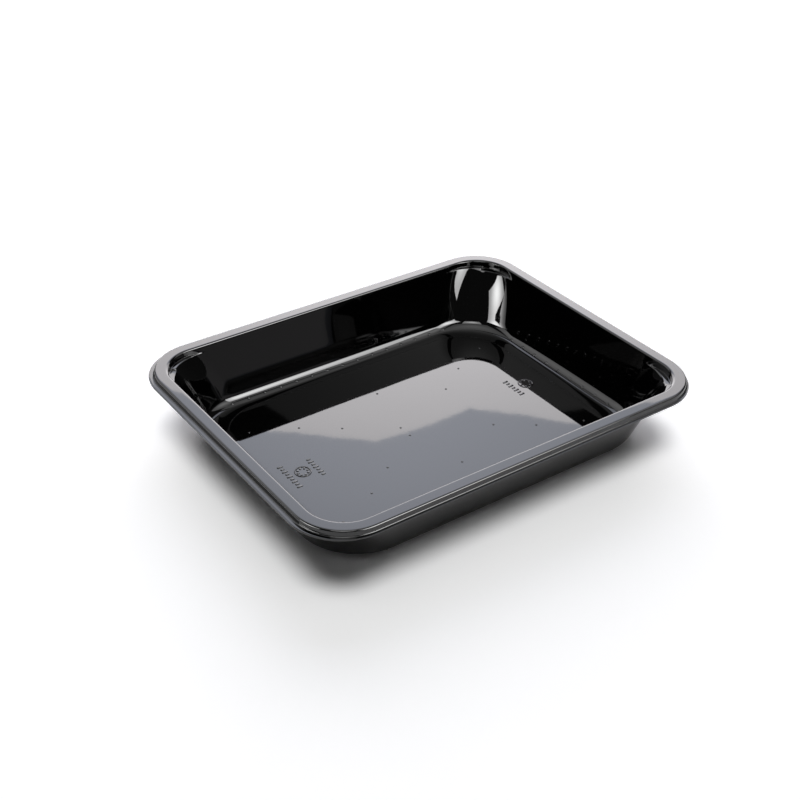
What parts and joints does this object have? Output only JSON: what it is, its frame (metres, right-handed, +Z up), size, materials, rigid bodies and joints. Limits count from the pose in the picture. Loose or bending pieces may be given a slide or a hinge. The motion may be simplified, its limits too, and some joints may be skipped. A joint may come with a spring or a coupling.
{
  "type": "ovenable plastic meal tray",
  "caption": "Black one-piece thermoformed meal tray with a shallow drafted well, flat sealing flange and cut lip.",
  "frame": {"origin": "under the middle of the cut lip's outline, on the surface that the tray stands on", "axes": "+X along the length, towards the end with the narrow lip, +Y across the width, +Z up"},
  "size_m": [0.227, 0.178, 0.0345],
  "materials": {
    "black_polyester": "gloss"
  },
  "bodies": {
    "root": {"tray": "black_polyester"}
  },
  "joints": []
}
